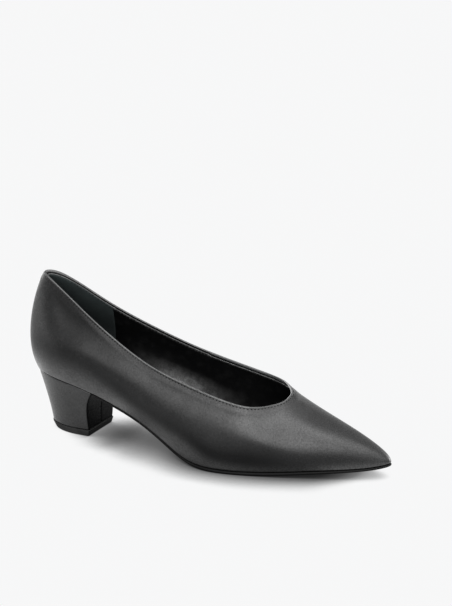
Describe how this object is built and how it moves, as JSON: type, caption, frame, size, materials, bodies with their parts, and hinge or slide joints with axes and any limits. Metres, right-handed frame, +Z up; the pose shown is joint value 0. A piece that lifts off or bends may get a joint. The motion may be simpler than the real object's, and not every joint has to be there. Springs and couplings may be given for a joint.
{
  "type": "block heel pump",
  "caption": "Closed pump for the right foot with a pointed toe, a low leather-covered block heel, an open topline and a thin sole; it stands on its heel and forefoot.",
  "frame": {"origin": "on the floor, under the middle of the shoe's box", "axes": "+X runs to the toe, +Y to the inner side of the foot, +Z up"},
  "size_m": [0.2592, 0.0754, 0.1071],
  "materials": {
    "upper_leather": "smooth fine-grained charcoal black, satin",
    "sock_leather": "black sock lining, soft sheen",
    "sole_sheet": "thin black sole sheet, satin edge",
    "heel_leather": "smooth charcoal black cover, satin",
    "lift_rubber": "matte black"
  },
  "bodies": {
    "root": {"upper": "upper_leather", "insole": "sock_leather", "outsole": "sole_sheet", "heel": "heel_leather", "top_lift": "lift_rubber"}
  },
  "joints": []
}
